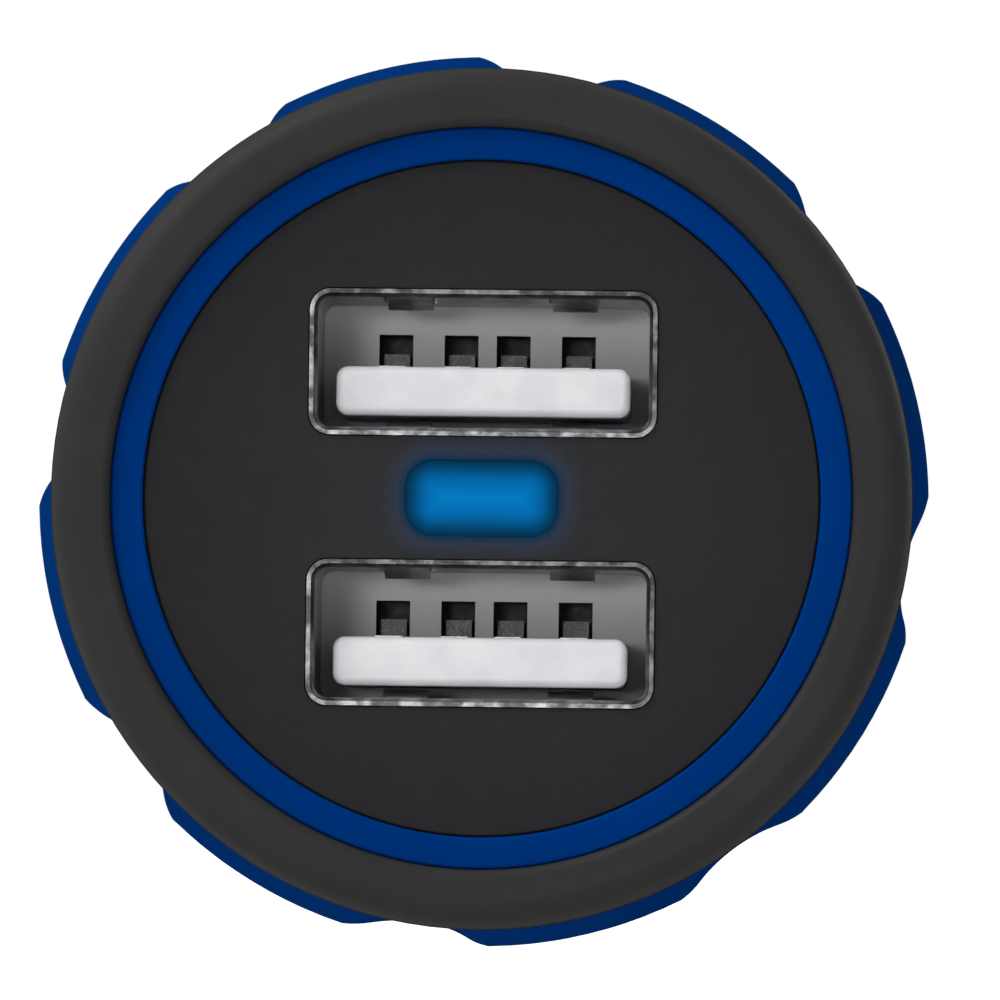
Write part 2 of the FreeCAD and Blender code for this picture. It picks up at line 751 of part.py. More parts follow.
def inductor_winding():
    """Copper winding between the bobbin's flanges."""
    base = board_top + coil_flange
    height = coil_height - 2 * coil_flange
    winding = post(coil_radius - coil_inset, height, coil_y, base)
    return winding.cut(post(coil_core_radius, height, coil_y, base))


def output_capacitor():
    """Can standing on the power board behind the choke."""
    can = post(output_cap_radius, output_cap_height, output_cap_y, board_top)
    top = [e for e in can.Edges if e.BoundBox.ZMin > board_top + cap_edge]
    return can.makeChamfer(cap_edge, top)


def input_capacitor():
    """Can lying on the power board in the barrel."""
    axis_z = board_top + input_cap_radius
    can = rod(input_cap_radius, input_cap_y, input_cap_y + input_cap_length, 0.0, axis_z)
    return can.makeChamfer(cap_edge, [e for e in can.Edges if e.Closed])


def converter_chip():
    """Converter under the power board, with bent legs on both sides."""
    under = -board_top
    knee_z = under - chip_stand - chip_leg_knee
    edge = chip_width / 2
    knee_x = edge + chip_leg_knee
    parts = []
    for i in range(chip_legs):
        leg_y = chip_y + chip_length / 2 + (i - (chip_legs - 1) / 2) * chip_leg_pitch
        across = span(chip_leg_width / 2, leg_y)
        for side in (1, -1):
            shank_x = side * (knee_x - chip_leg_wall)
            parts.append(block((side * (edge - chip_leg_wall), side * knee_x), across,
                               (knee_z, knee_z - chip_leg_wall)))
            parts.append(block((shank_x, side * knee_x), across, (under, knee_z - chip_leg_wall)))
            parts.append(block((shank_x, side * (edge + chip_leg_reach)), across, (under, under - chip_leg_wall)))
    body = block(span(edge), (chip_y, chip_y + chip_length), (under - chip_stand, under - chip_height))
    return body.fuse(parts).removeSplitter()


def power_diode():
    """Diode under the power board, beside the converter."""
    return block(span(diode_width / 2), (diode_y, diode_y + diode_length), (-board_top, -board_top - diode_height))


def ceramic_capacitors():
    """Small ceramic capacitors in a row beside the choke."""
    x = (coil_radius + part_gap, coil_radius + part_gap + ceramic_length)
    row = []
    for i in range(ceramic_count):
        y = coil_y + (i - (ceramic_count - 1) / 2) * ceramic_pitch
        row.append(block(x, span(ceramic_width / 2, y), (board_top, board_top + ceramic_width)))
    return Part.makeCompound(row)


def pieces():
    """Every piece by its name."""
    upper, lower = port_heights
    return {
        "face_plate": face_plate(),
        "grip_sleeve": grip_sleeve(),
        "bezel_ring": bezel_ring(),
        "indicator_window": indicator_window(),
        "status_led": status_led(),
        "upper_usb_shell": usb_shell(upper),
        "upper_usb_insulator": usb_insulator(upper),
        "upper_usb_contacts": usb_contacts(upper),
        "lower_usb_shell": usb_shell(lower),
        "lower_usb_insulator": usb_insulator(lower),
        "lower_usb_contacts": usb_contacts(lower),
        "port_board": port_board(),
        "power_board": power_board(),
        "link_header": link_header(),
        "link_pins": link_pins(),
        "inductor_core": inductor_core(),
        "inductor_winding": inductor_winding(),
        "output_capacitor": output_capacitor(),
        "input_capacitor": input_capacitor(),
        "converter_chip": converter_chip(),
        "power_diode": power_diode(),
        "ceramic_capacitors": ceramic_capacitors(),
        "upper_housing": housing_half(1),
        "lower_housing": housing_half(-1),
        "nose_nut": nose_nut(),
        "tip_contact": tip_contact(),
        "tip_spring": tip_spring(),
        "contact_plate": contact_plate(),
        "right_ground_contact": ground_contact(1),
        "left_ground_contact": ground_contact(-1),
    }


os.makedirs("parts", exist_ok=True)
for name, shape in pieces().items():
    shape.exportStep(f"parts/{name}.step")
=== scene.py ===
import math

import bpy
from mathutils import Matrix, Vector


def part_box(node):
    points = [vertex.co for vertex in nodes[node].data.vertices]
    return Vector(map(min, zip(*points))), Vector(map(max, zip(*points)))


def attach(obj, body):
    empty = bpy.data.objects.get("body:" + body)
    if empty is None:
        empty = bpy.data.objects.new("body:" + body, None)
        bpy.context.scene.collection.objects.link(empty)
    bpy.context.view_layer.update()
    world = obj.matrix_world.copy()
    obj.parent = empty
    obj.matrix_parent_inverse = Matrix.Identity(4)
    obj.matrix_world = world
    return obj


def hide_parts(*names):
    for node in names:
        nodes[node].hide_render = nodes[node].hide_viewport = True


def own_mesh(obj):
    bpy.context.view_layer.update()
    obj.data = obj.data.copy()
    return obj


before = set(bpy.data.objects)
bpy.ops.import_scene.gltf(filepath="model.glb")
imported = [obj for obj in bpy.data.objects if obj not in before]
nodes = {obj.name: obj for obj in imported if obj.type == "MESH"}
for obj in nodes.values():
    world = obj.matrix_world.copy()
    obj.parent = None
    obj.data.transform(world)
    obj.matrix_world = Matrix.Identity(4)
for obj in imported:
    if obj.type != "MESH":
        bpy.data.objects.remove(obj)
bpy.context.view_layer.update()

scene = bpy.context.scene

MM = 0.001


def metres(*millimetres):
    return Vector(millimetres) * MM


def linear(red, green, blue):
    """A colour given as it looks on a screen, 0 to 255 a channel, as the light values that shaders take."""
    channels = []
    for value in (red, green, blue):
        share = value / 255
        channels.append(share / 12.92 if share <= 0.04045 else ((share + 0.055) / 1.055) ** 2.4)
    return (*channels, 1.0)


class Finish:
    """One material: a Principled shader with patterns that run in millimetres of the object's own frame."""

    NOISE_LOW = 0.3      # soft noise seldom leaves this range
    NOISE_HIGH = 0.7

    def __init__(self, name, roughness, metallic=0.0, specular=0.5):
        self.material = bpy.data.materials.new(name)
        self.material.use_nodes = True
        self.tree = self.material.node_tree
        self.shader = self.tree.nodes["Principled BSDF"]
        self.shader.inputs["Roughness"].default_value = roughness
        self.shader.inputs["Metallic"].default_value = metallic
        self.shader.inputs["Specular IOR Level"].default_value = specular
        coordinates = self.tree.nodes.new("ShaderNodeTexCoord")
        self.place = self.vector("SCALE", coordinates.outputs["Object"], scale=1 / MM)
        self.axes = self.tree.nodes.new("ShaderNodeSeparateXYZ")
        self.tree.links.new(self.place, self.axes.inputs[0])

    def feed(self, socket, value):
        if isinstance(value, bpy.types.NodeSocket):
            self.tree.links.new(value, socket)
        else:
            socket.default_value = value

    def vector(self, operation, first, second=None, scale=None):
        node = self.tree.nodes.new("ShaderNodeVectorMath")
        node.operation = operation
        self.feed(node.inputs[0], first)
        if second is not None:
            self.feed(node.inputs[1], second)
        if scale is not None:
            self.feed(node.inputs["Scale"], scale)
        return node.outputs["Value" if operation == "LENGTH" else "Vector"]

    def math(self, operation, first, second=0.0, third=0.0):
        node = self.tree.nodes.new("ShaderNodeMath")
        node.operation = operation
        for socket, value in zip(node.inputs, (first, second, third)):
            self.feed(socket, value)
        return node.outputs[0]

    def noise(self, size, detail=2.0, stretch=(1, 1, 1), rough=0.5):
        """Noise from 0 to 1 with features of about size millimetres, drawn out along an axis by stretch."""
        node = self.tree.nodes.new("ShaderNodeTexNoise")
        node.inputs["Scale"].default_value = 1 / size
        node.inputs["Detail"].default_value = detail
        node.inputs["Roughness"].default_value = rough
        squeezed = self.vector("DIVIDE", self.place, stretch)
        self.tree.links.new(squeezed, node.inputs["Vector"])
        return node.outputs["Fac"]

    def spread(self, value, low, high, start=0.0, end=1.0):
        """Maps start to end onto low to high, and stays there outside."""
        node = self.tree.nodes.new("ShaderNodeMapRange")
        self.feed(node.inputs["Value"], value)
        for name, number in (("From Min", start), ("From Max", end), ("To Min", low), ("To Max", high)):
            node.inputs[name].default_value = number
        return node.outputs["Result"]

    def mix(self, share, first, second):
        node = self.tree.nodes.new("ShaderNodeMix")
        node.data_type = "RGBA"
        self.feed(node.inputs["Factor"], share)
        self.feed(node.inputs["A"], first)
        self.feed(node.inputs["B"], second)
        return node.outputs["Result"]

    def ramp(self, value, stops):
        """Colours along a value: stops are (place from 0 to 1, colour)."""
        node = self.tree.nodes.new("ShaderNodeValToRGB")
        self.feed(node.inputs[0], value)
        elements = node.color_ramp.elements
        while len(elements) < len(stops):
            elements.new(1.0)
        for element, (place, colour) in zip(elements, stops):
            element.position = place
            element.color = colour
        return node.outputs["Color"]

    def colour(self, value):
        self.feed(self.shader.inputs["Base Color"], value)

    def clouds(self, size):
        """Soft clouds from 0 to 1."""
        return self.spread(self.noise(size, 3.0), 0.0, 1.0, self.NOISE_LOW, self.NOISE_HIGH)

    def mottle(self, base, other, size):
        """The base colour with soft clouds of another."""
        self.colour(self.mix(self.clouds(size), base, other))

    def roughness(self, pattern, smooth, rough):
        """Roughness that follows a noise pattern."""
        value = self.spread(pattern, smooth, rough, self.NOISE_LOW, self.NOISE_HIGH)
        self.feed(self.shader.inputs["Roughness"], value)

    def bump(self, *layers):
        """Relief from (height from 0 to 1, depth in millimetres) layers."""
        normal = None
        for height, depth in layers:
            node = self.tree.nodes.new("ShaderNodeBump")
            node.inputs["Distance"].default_value = depth * MM
            self.feed(node.inputs["Height"], height)
            if normal:
                self.tree.links.new(normal, node.inputs["Normal"])
            normal = node.outputs["Normal"]
        self.tree.links.new(normal, self.shader.inputs["Normal"])

    def glow(self, colour, strength=1.0):
        self.feed(self.shader.inputs["Emission Color"], colour)
        self.shader.inputs["Emission Strength"].default_value = strength

    def satin(self, level, start, end):
        """A specular level that fades out from start to end, where 0 is square on and 1 is grazing."""
        weight = self.tree.nodes.new("ShaderNodeLayerWeight")
        weight.inputs["Blend"].default_value = 0.5
        return self.spread(weight.outputs["Facing"], level, 0.0, start, end)

    def specular(self, value):
        self.feed(self.shader.inputs["Specular IOR Level"], value)

    def behind(self, start, end):
        """Zero in front of one place along the plug's axis and one behind another, in millimetres."""
        return self.spread(self.axes.outputs["Y"], 0.0, 1.0, start, end)

    def outside_window(self):
        """Distance in millimetres from the window's rounded outline, below zero inside it."""
        past_corners = []
        squares = []
        for axis, size in (("X", WINDOW_WIDTH), ("Z", WINDOW_HEIGHT)):
            from_axis = self.math("ABSOLUTE", self.axes.outputs[axis])
            past = self.math("SUBTRACT", from_axis, size / 2 - WINDOW_CORNER)
            beyond = self.math("MAXIMUM", past, 0.0)
            past_corners.append(past)
            squares.append(self.math("MULTIPLY", beyond, beyond))
        outer = self.math("SQRT", self.math("ADD", *squares))
        inner = self.math("MINIMUM", self.math("MAXIMUM", *past_corners), 0.0)
        return self.math("SUBTRACT", self.math("ADD", outer, inner), WINDOW_CORNER)

    def above_socket_middle(self):
        """Height in millimetres above the middle of the socket that the surface belongs to."""
        share = self.math("FRACT", self.math("DIVIDE", self.axes.outputs["Z"], port_pitch))
        return self.math("MULTIPLY", self.math("SUBTRACT", share, 0.5), port_pitch)


def dress(name, finish):
    node = nodes[name]
    node.data.materials.clear()
    node.data.materials.append(finish.material)


def node_box(name):
    """The low and high corner of a node, in millimetres."""
    return [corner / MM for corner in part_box(name)]


# Window in the face, in millimetres
WINDOW_WIDTH = 5.8
WINDOW_HEIGHT = 2.9
WINDOW_CORNER = 1.1
WINDOW_DEEP_EDGE = 1.5       # from the outline in to the brightest part of the light
FLANGE_START = 0.05          # the lens goes dark between these distances outside the outline
FLANGE_END = 0.1
PAINTED_SPILL_REACH = 0.3            # painted blur of the window's light: a dark blue tint of the face round the window
HALO_REACH = 1.0             # painted glow of the window's light on the face round the window

# Face: painted shade, it gets a little darker between these distances from its middle, in millimetres
FACE_SHADE_START = 5.0
FACE_SHADE_END = 12.8

# Sockets, in millimetres
BACK_WALL_SETBACK = 9.3      # from a shell's mouth to the wall that the tongue stands on
WALL_BLEND = 1.0             # in front of that wall
POCKET_SHADE_START = 0.05    # painted shade: the pockets darken between these distances behind it
POCKET_SHADE_END = 0.9
CONTACT_BLEND = 0.4          # on both sides of it
WALL_SHADE_LOW = -0.1        # painted shade and light: the wall pales upwards between these heights above a socket's middle
WALL_SHADE_HIGH = 2.2
LOWER_LIP_LOW = -2.5         # the steel's lower lip gets a painted highlight below these heights
LOWER_LIP_HIGH = -1.8
LEFT_LIP_OUTER = -6.5        # and its left lip beyond these places across the face
LEFT_LIP_INNER = -6.2
MOUTH_DEPTH_START = 0.1      # the mouth's darker colour ends between these depths behind it
MOUTH_DEPTH_END = 0.7

# Other finishes, in millimetres
GRIP_BLEND = 0.2             # on both sides of the bezel's back
SEAM_FLOOR = 0.03            # half width of the hairline between the housing's halves, at its floor
SEAM_EDGE = 0.09             # and at its edge
WINDING_PITCH = 0.35
TRACKS_PER_MM = 0.35
TRACK_CORE = 0.08            # half width of a board's tracks, as a share of the distance between them
TRACK_EDGE = 0.16            # the same with the slope at their edge

# Places worked out from the nodes, in millimetres
shell_low, shell_high = node_box("upper_usb_shell")
port_pitch = shell_high.z - node_box("lower_usb_shell")[1].z
mouth_y = shell_low.y
back_wall_y = mouth_y + BACK_WALL_SETBACK
grip_y = node_box("bezel_ring")[1].y


def moulded_face():
    """Charcoal plastic of the face, with painted shade towards its edge and the window's light painted
    round the window as a blue tint and a glow.
    """
    finish = Finish("face_plastic", 0.5, specular=0.06)
    edge_shade = linear(32, 32, 34)
    radius = finish.vector("LENGTH", finish.vector("MULTIPLY", finish.place, (1, 0, 1)))
    # painted shade: the face darkens from its middle towards its edge
    to_edge = finish.spread(radius, 0.0, 1.0, FACE_SHADE_START, FACE_SHADE_END)
    shade = finish.mix(to_edge, linear(40, 40, 42), edge_shade)
    cloud = finish.spread(finish.noise(5.0), 0.0, 0.35, 0.35, 0.75)
    shade = finish.mix(cloud, shade, edge_shade)
    distance = finish.outside_window()
    # painted light: the face next to the window is tinted dark blue, like the window's blurred edge
    painted_window_spill = finish.spread(distance, 1.0, 0.0, 0.0, PAINTED_SPILL_REACH)
    finish.colour(finish.mix(painted_window_spill, shade, linear(0, 16, 26)))
    # painted light: the face itself glows blue round the window and fades out over HALO_REACH
    fade = finish.spread(distance, 0.0, 1.0, 0.0, HALO_REACH)
    finish.glow(finish.ramp(fade, [
        (0.0, linear(0, 36, 64)),
        (0.22, linear(0, 27, 52)),
        (0.5, linear(0, 17, 36)),
        (0.75, linear(0, 10, 22)),
        (1.0, linear(0, 0, 0)),
    ]))
    finish.roughness(finish.noise(0.5), 0.44, 0.56)
    finish.bump((finish.noise(0.12, 3.0), 0.006))
    return finish


def lit_window():
    """Clear lens over the blue light: brightest in the middle, dark at its edge and in its flange."""
    finish = Finish("window_plastic", 0.35, specular=0.005)
    distance = finish.outside_window()
    depth = finish.spread(distance, 1.0, 0.0, -WINDOW_DEEP_EDGE, 0.0)
    finish.colour(finish.ramp(depth, [(0.0, linear(1, 8, 14)), (1.0, linear(1, 14, 26))]))
    light = finish.ramp(depth, [
        (0.0, linear(2, 40, 66)),
        (0.23, linear(1, 68, 108)),
        (0.38, linear(0, 88, 145)),
        (0.55, linear(1, 102, 168)),
        (0.75, linear(1, 112, 180)),
        (1.0, linear(3, 122, 192)),
    ])
    on_flange = finish.spread(distance, 0.0, 1.0, FLANGE_START, FLANGE_END)
    finish.glow(finish.mix(on_flange, light, linear(0, 0, 0)))
    finish.roughness(finish.noise(1.5), 0.33, 0.37)
    finish.bump((finish.noise(0.6, 2.0), 0.003))
    return finish


def blue_plastic():
    """Blue moulding: matt on the rim inside the bezel, a little darker and satin on the grip behind it."""
    finish = Finish("blue_shell", 0.45, specular=0.0)
    cloud = finish.clouds(7.0)
    rim = finish.mix(cloud, linear(0, 49, 117), linear(0, 46, 110))
    grip = finish.mix(cloud, linear(3, 46, 105), linear(2, 43, 99))
    on_grip = finish.behind(grip_y - GRIP_BLEND, grip_y + GRIP_BLEND)
    finish.colour(finish.mix(on_grip, rim, grip))
    finish.specular(finish.math("MULTIPLY", on_grip, finish.satin(0.12, 0.1, 0.5)))
    finish.roughness(finish.noise(0.4), 0.45, 0.6)
    finish.bump((finish.noise(0.14, 3.0), 0.004))
    return finish


def bezel_plastic():
    """Dark satin moulding with a faint grain."""
    finish = Finish("bezel_plastic", 0.5)
    finish.specular(finish.satin(0.05, 0.4, 0.75))
    finish.mottle(linear(46, 46, 47), linear(42, 42, 43), 6.0)
    finish.roughness(finish.noise(0.3), 0.42, 0.54)
    finish.bump((finish.noise(0.1, 3.0), 0.005))
    return finish


def black_housing():
    """Black plastic with a spark-eroded grain, and the hairline where its two halves meet."""
    finish = Finish("housing_plastic", 0.5, specular=0.3)
    finish.mottle(linear(33, 33, 35), linear(28, 28, 30), 4.0)
    finish.roughness(finish.noise(0.35), 0.45, 0.62)
    from_seam = finish.math("ABSOLUTE", finish.axes.outputs["Z"])
    seam = finish.spread(from_seam, 0.0, 1.0, SEAM_FLOOR, SEAM_EDGE)
    finish.bump((finish.noise(0.3, 4.0), 0.022), (seam, 0.05))
    return finish


def nut_plastic():
    """Black plastic, a little smoother than the housing."""
    finish = Finish("nut_plastic", 0.4, specular=0.35)
    finish.mottle(linear(38, 38, 40), linear(32, 32, 34), 3.0)
    finish.roughness(finish.noise(0.25), 0.35, 0.48)
    finish.bump((finish.noise(0.2, 3.0), 0.008))
    return finish


def brushed(name, colour, dull, roughness, streak, stretch):
    """Metal with fine streaks along one direction and faint stains."""
    finish = Finish(name, roughness, metallic=1.0)
    finish.mottle(colour, dull, 2.5)
    lines = finish.noise(streak, 3.0, stretch)
    finish.roughness(lines, roughness - 0.07, roughness + 0.1)
    finish.bump((lines, 0.0015), (finish.noise(0.8, 2.0), 0.003))
    return finish


def socket_steel():
    """Nickel plated sheet: plain inside, darker at the mouth, with painted highlights on its lower and left
    lips.
    """
    finish = Finish("port_steel", 0.35, metallic=1.0)
    worn = finish.spread(finish.noise(0.55, 4.0), 0.0, 1.0, 0.42, 0.66)
    # painted highlights: the lower and left lips are brighter, as where light falls on them
    lower_lip = finish.spread(finish.above_socket_middle(), 1.0, 0.0, LOWER_LIP_LOW, LOWER_LIP_HIGH)
    # the steel is darker at the mouth than inside
    dark_mouth = finish.mix(worn, linear(47, 47, 49), linear(97, 97, 99))
    lip_highlight = finish.mix(worn, linear(70, 70, 72), linear(146, 146, 148))
    left_lip = finish.spread(finish.axes.outputs["X"], 0.5, 0.0, LEFT_LIP_OUTER, LEFT_LIP_INNER)
    mouth = finish.mix(finish.math("MAXIMUM", lower_lip, left_lip), dark_mouth, lip_highlight)
    inside = finish.mix(worn, linear(140, 140, 142), linear(182, 182, 184))
    deep = finish.behind(mouth_y + MOUTH_DEPTH_START, mouth_y + MOUTH_DEPTH_END)
    finish.colour(finish.mix(deep, mouth, inside))
    lines = finish.noise(0.05, 3.0, (1, 14, 1))
    finish.roughness(lines, 0.28, 0.45)
    finish.bump((lines, 0.0015), (finish.noise(0.5, 3.0), 0.012))
    return finish


def socket_contact():
    """Thinly plated contact strips, painted darker at the back as the shade of their pockets."""
    finish = Finish("contact_metal", 0.3, metallic=1.0)
    lines = finish.noise(0.06, 3.0, (1, 10, 1))
    front = finish.mix(lines, linear(152, 151, 149), linear(128, 127, 125))
    # painted shade: the strips are darker at the back, in their pockets
    back = finish.mix(finish.noise(0.4, 3.0), linear(34, 34, 34), linear(60, 60, 59))
    at_back = finish.behind(back_wall_y - CONTACT_BLEND, back_wall_y + CONTACT_BLEND)
    finish.colour(finish.mix(at_back, front, back))
    finish.roughness(lines, 0.25, 0.4)
    finish.bump((lines, 0.0015), (finish.noise(0.3, 2.0), 0.006))
    return finish


def white_insulator():
    """White moulding of the sockets, with painted shade and light: the wall behind the tongue pales
    upwards, the pockets are dark.
    """
    finish = Finish("insulator_plastic", 0.42, specular=0.15)
    cloud = finish.spread(finish.noise(1.6, 3.0), 0.0, 1.0, 0.35, 0.7)
    white = finish.mix(cloud, linear(221, 222, 224), linear(210, 211, 214))
    # painted shade and light: the back wall is darker near the tongue and paler above it
    height = finish.spread(finish.above_socket_middle(), 0.0, 1.0, WALL_SHADE_LOW, WALL_SHADE_HIGH)
    wall = finish.mix(height, linear(194, 195, 198), linear(238, 239, 241))
    body = finish.mix(finish.behind(back_wall_y - WALL_BLEND, back_wall_y), white, wall)
    # painted shade: the pockets behind the wall are dark
    in_pocket = finish.behind(back_wall_y + POCKET_SHADE_START, back_wall_y + POCKET_SHADE_END)
    finish.colour(finish.mix(in_pocket, body, linear(38, 38, 40)))
    finish.roughness(finish.noise(0.3), 0.36, 0.5)
    finish.bump((finish.noise(0.15, 3.0), 0.004))
    return finish


def grained(name, colour, other, roughness, size, depth, specular=0.4):
    """Plain moulded or fired material with a grain of one size."""
    finish = Finish(name, roughness, specular=specular)
    finish.mottle(colour, other, size * 12)
    finish.roughness(finish.noise(size * 2), roughness - 0.06, roughness + 0.08)
    finish.bump((finish.noise(size, 3.0), depth))
    return finish


def wound_copper():
    """Enamelled wire in neat turns, with painted shade between the turns and a painted highlight on their
    crowns.
    """
    finish = Finish("copper_wire", 0.28, metallic=1.0)
    height = finish.math("FRACT", finish.math("DIVIDE", finish.axes.outputs["Z"], WINDING_PITCH))
    crown = finish.math("PINGPONG", height, 0.5)
    # painted shade and highlight: dark between turns, bright on each turn's crown
    crown_highlight = finish.spread(crown, 0.0, 1.0, 0.0, 0.3)
    finish.colour(finish.mix(crown_highlight, linear(70, 26, 12), linear(196, 112, 70)))
    finish.bump((finish.spread(crown, 0.0, 1.0, 0.0, 0.5), 0.12))
    return finish


def board_laminate():
    """Green mask over faint copper tracks, with the board's fine unevenness."""
    finish = Finish("board_laminate", 0.35, specular=0.4)
    tracks = finish.tree.nodes.new("ShaderNodeTexVoronoi")
    tracks.distance = "MANHATTAN"
    tracks.feature = "DISTANCE_TO_EDGE"
    tracks.inputs["Scale"].default_value = TRACKS_PER_MM
    finish.tree.links.new(finish.place, tracks.inputs["Vector"])
    track = finish.spread(tracks.outputs["Distance"], 1.0, 0.0, TRACK_CORE, TRACK_EDGE)
    finish.colour(finish.mix(track, linear(14, 70, 38), linear(24, 98, 52)))
    finish.bump((track, 0.02), (finish.noise(0.3, 2.0, (1, 1, 4)), 0.006))
    return finish


def sleeved_can():
    """Dark sleeve of a capacitor's can."""
    finish = Finish("capacitor_can", 0.35, specular=0.5)
    finish.mottle(linear(28, 34, 52), linear(22, 27, 42), 4.0)
    finish.roughness(finish.noise(0.5), 0.336, 0.384)
    finish.bump((finish.noise(0.6, 2.0), 0.01))
    return finish


face_finish = moulded_face()
window_finish = lit_window()
blue_finish = blue_plastic()
bezel_finish = bezel_plastic()
housing_finish = black_housing()
nut_finish = nut_plastic()
steel = socket_steel()
plated = brushed("plated_metal", linear(192, 191, 187), linear(168, 166, 162), 0.22, 0.06, (1, 12, 1))
contact = socket_contact()
gilded = brushed("board_contact_metal", linear(176, 158, 116), linear(150, 132, 92), 0.3, 0.06, (1, 10, 1))
spring = brushed("spring_steel", linear(190, 190, 192), linear(160, 160, 163), 0.26, 0.05, (4, 1, 4))
insulator = white_insulator()
component = grained("component_plastic", linear(30, 30, 31), linear(38, 38, 39), 0.6, 0.1, 0.008, 0.3)
ferrite = grained("ferrite", linear(46, 45, 44), linear(58, 56, 54), 0.55, 0.12, 0.012)
ceramic = grained("ceramic", linear(176, 142, 104), linear(160, 126, 90), 0.45, 0.08, 0.006)
led = grained("led_plastic", linear(190, 210, 235), linear(170, 195, 228), 0.2, 0.5, 0.004)
copper = wound_copper()
board = board_laminate()
can = sleeved_can()

dress("face_plate", face_finish)
dress("indicator_window", window_finish)
dress("grip_sleeve", blue_finish)
dress("bezel_ring", bezel_finish)
dress("nose_nut", nut_finish)
dress("status_led", led)
dress("inductor_core", ferrite)
dress("inductor_winding", copper)
dress("ceramic_capacitors", ceramic)
dress("tip_contact", plated)
for side in ("upper", "lower"):
    dress(f"{side}_housing", housing_finish)
    dress(f"{side}_usb_shell", steel)
    dress(f"{side}_usb_insulator", insulator)
    dress(f"{side}_usb_contacts", contact)
for side in ("right", "left"):
    dress(f"{side}_ground_contact", plated)
for name in ("port_board", "power_board"):
    dress(name, board)
for name in ("link_header", "converter_chip", "power_diode"):
    dress(name, component)
for name in ("input_capacitor", "output_capacitor"):
    dress(name, can)
for name in ("link_pins", "contact_plate"):
    dress(name, gilded)


# The tip's spring, of round wire with closed ends.
SPRING_WIRE = 0.45
SPRING_TURNS = 6
SPRING_CLOSED_TURNS = 1      # at each end
STEPS_PER_TURN = 48
WIRE_SIDES = 14


def coil_spring():
    low, high = node_box("tip_spring")
    radius = (high.x - low.x - SPRING_WIRE) / 2
    length = high.y - low.y
    open_turns = SPRING_TURNS - 2 * SPRING_CLOSED_TURNS
    spare = length - SPRING_WIRE * (SPRING_TURNS + 1)

    def rise(turn):
        """Height over the first turn: closed turns lie on each other, open ones share the spare length."""
        share = min(max((turn - SPRING_CLOSED_TURNS) / open_turns, 0), 1)
        return turn * SPRING_WIRE + spare * share * share * (3 - 2 * share)

    vertices = []
    faces = []
    steps = SPRING_TURNS * STEPS_PER_TURN
    for i in range(steps + 1):
        turn = i / STEPS_PER_TURN
        angle = 2 * math.pi * turn
        for j in range(WIRE_SIDES):
            around = 2 * math.pi * j / WIRE_SIDES
            reach = radius + SPRING_WIRE / 2 * math.cos(around)
            along = low.y + SPRING_WIRE / 2 + rise(turn) + SPRING_WIRE / 2 * math.sin(around)
            vertices.append(metres(reach * math.cos(angle), along, reach * math.sin(angle)))
    for i in range(steps):
        for j in range(WIRE_SIDES):
            this_side = i * WIRE_SIDES + j
            next_side = i * WIRE_SIDES + (j + 1) % WIRE_SIDES
            faces.append((this_side, next_side, next_side + WIRE_SIDES, this_side + WIRE_SIDES))
    wire_faces = len(faces)
    faces.append(tuple(reversed(range(WIRE_SIDES))))
    faces.append(tuple(range(steps * WIRE_SIDES, (steps + 1) * WIRE_SIDES)))
    mesh = bpy.data.meshes.new("coil_spring")
    mesh.from_pydata(vertices, [], faces)
    for polygon in mesh.polygons[:wire_faces]:
        polygon.use_smooth = True
    mesh.materials.append(spring.material)
    coil = bpy.data.objects.new("coil_spring", mesh)
    scene.collection.objects.link(coil)
    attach(coil, "housing")
    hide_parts("tip_spring")
    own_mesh(coil)


coil_spring()


# Camera: almost square on to the face, a little to its right and below its middle
FACE_CENTRE = Vector((0.0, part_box("face_plate")[0].y, 0.0))
CAMERA_DISTANCE = 0.5
CAMERA_RIGHT = math.radians(1.0)
CAMERA_BELOW = math.radians(1.4)
CAMERA_ROLL = math.radians(0.7)
SENSOR = 36.0
LENS = 478.0
AIM_OFFSET = metres(0.695, 0.0, -0.055)


def make_camera():
    data = bpy.data.cameras.new("camera")
    data.sensor_width = SENSOR
    data.lens = LENS
    data.clip_start = 0.01
    camera = bpy.data.objects.new("camera", data)
    scene.collection.objects.link(camera)
    ahead = -math.cos(CAMERA_RIGHT) * math.cos(CAMERA_BELOW)
    back = Vector((math.sin(CAMERA_RIGHT), ahead, -math.sin(CAMERA_BELOW)))
    camera.location = FACE_CENTRE + back.normalized() * CAMERA_DISTANCE
    aim = FACE_CENTRE + AIM_OFFSET - camera.location
    turn = aim.to_track_quat("-Z", "Y").to_matrix().to_4x4() @ Matrix.Rotation(CAMERA_ROLL, 4, "Z")
    camera.matrix_world = Matrix.Translation(camera.location) @ turn
    scene.camera = camera


# Lamps: name, direction towards the lamp, width of its disc in degrees, level
LAMPS = (
    ("key", (-0.56, -0.32, 0.78), 40, 2.8),
    ("fill", (-0.17, -1.0, 0.0), 10, 1.0),
    ("back", (0.55, 0.8, 0.3), 40, 0.9),
)


def soft_light(name, source, width, level):
    """A distant light whose disc is width degrees wide in the sky."""
    data = bpy.data.lights.new(name, "SUN")
    data.angle = math.radians(width)
    data.energy = level
    lamp = bpy.data.objects.new(name, data)
    lamp.rotation_euler = (-Vector(source)).to_track_quat("-Z", "Y").to_euler()
    scene.collection.objects.link(lamp)


# White surroundings
FLOOR_HEIGHT = -0.03
FLOOR_REACH = 60.0           # from the middle to each edge, in metres
FLOOR_TONE = 0.8
FLOOR_LIFT = 0.42            # emission that makes the floor read white to the camera
WORLD_LEVEL = 0.4            # for soft light, and white for what the camera sees
WHITE = (1.0, 1.0, 1.0, 1.0)


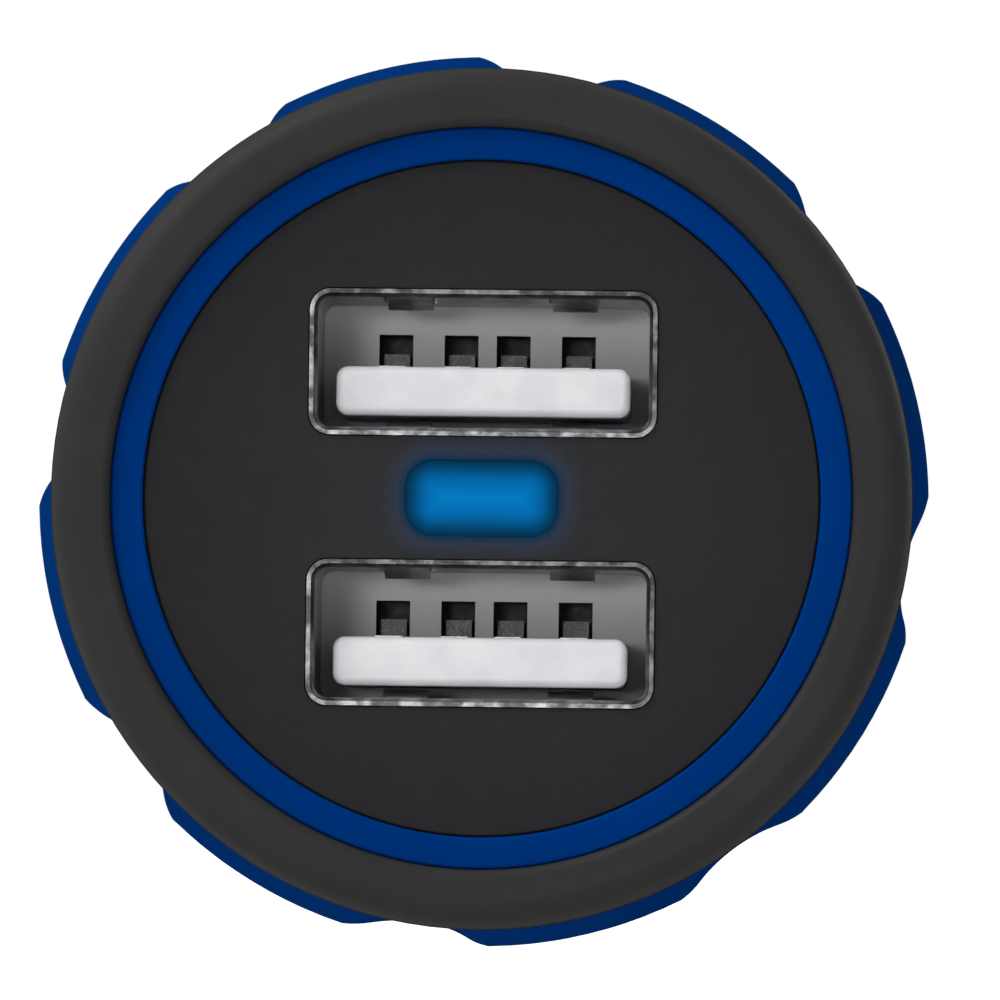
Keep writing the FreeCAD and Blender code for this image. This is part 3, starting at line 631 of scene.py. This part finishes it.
def seen_directly(tree):
    """One for what the camera sees, straight, by reflection or through glass, and zero for soft light."""
    path = tree.nodes.new("ShaderNodeLightPath")
    seen = path.outputs["Is Camera Ray"]
    for name in ("Is Glossy Ray", "Is Transmission Ray"):
        either = tree.nodes.new("ShaderNodeMath")
        either.operation = "MAXIMUM"
        tree.links.new(seen, either.inputs[0])
        tree.links.new(path.outputs[name], either.inputs[1])
        seen = either.outputs[0]
    return seen


def make_world():
    world = bpy.data.worlds.new("studio")
    scene.world = world
    world.use_nodes = True
    tree = world.node_tree
    background = tree.nodes["Background"]
    background.inputs["Color"].default_value = WHITE
    level = tree.nodes.new("ShaderNodeMapRange")
    level.inputs["To Min"].default_value = WORLD_LEVEL
    level.inputs["To Max"].default_value = 1.0
    tree.links.new(seen_directly(tree), level.inputs["Value"])
    tree.links.new(level.outputs["Result"], background.inputs["Strength"])


def make_floor():
    """Pale floor that reads white to the camera and still takes the part's soft shadow."""
    mesh = bpy.data.meshes.new("floor")
    signs = ((-1, -1), (1, -1), (1, 1), (-1, 1))
    corners = [(x * FLOOR_REACH, y * FLOOR_REACH, FLOOR_HEIGHT) for x, y in signs]
    mesh.from_pydata(corners, [], [(0, 1, 2, 3)])
    floor = bpy.data.objects.new("floor", mesh)
    scene.collection.objects.link(floor)
    material = bpy.data.materials.new("floor_paint")
    material.use_nodes = True
    tree = material.node_tree
    shader = tree.nodes["Principled BSDF"]
    shader.inputs["Roughness"].default_value = 0.9
    shader.inputs["Specular IOR Level"].default_value = 0.0
    shader.inputs["Base Color"].default_value = (FLOOR_TONE, FLOOR_TONE, FLOOR_TONE, 1.0)
    shader.inputs["Emission Color"].default_value = WHITE
    lift = tree.nodes.new("ShaderNodeMath")
    lift.operation = "MULTIPLY"
    lift.inputs[1].default_value = FLOOR_LIFT
    tree.links.new(seen_directly(tree), lift.inputs[0])
    tree.links.new(lift.outputs[0], shader.inputs["Emission Strength"])
    mesh.materials.append(material)


make_camera()
make_world()
make_floor()
for lamp_name, source, width, level in LAMPS:
    soft_light(lamp_name, source, width, level)
scene.view_settings.view_transform = "Standard"
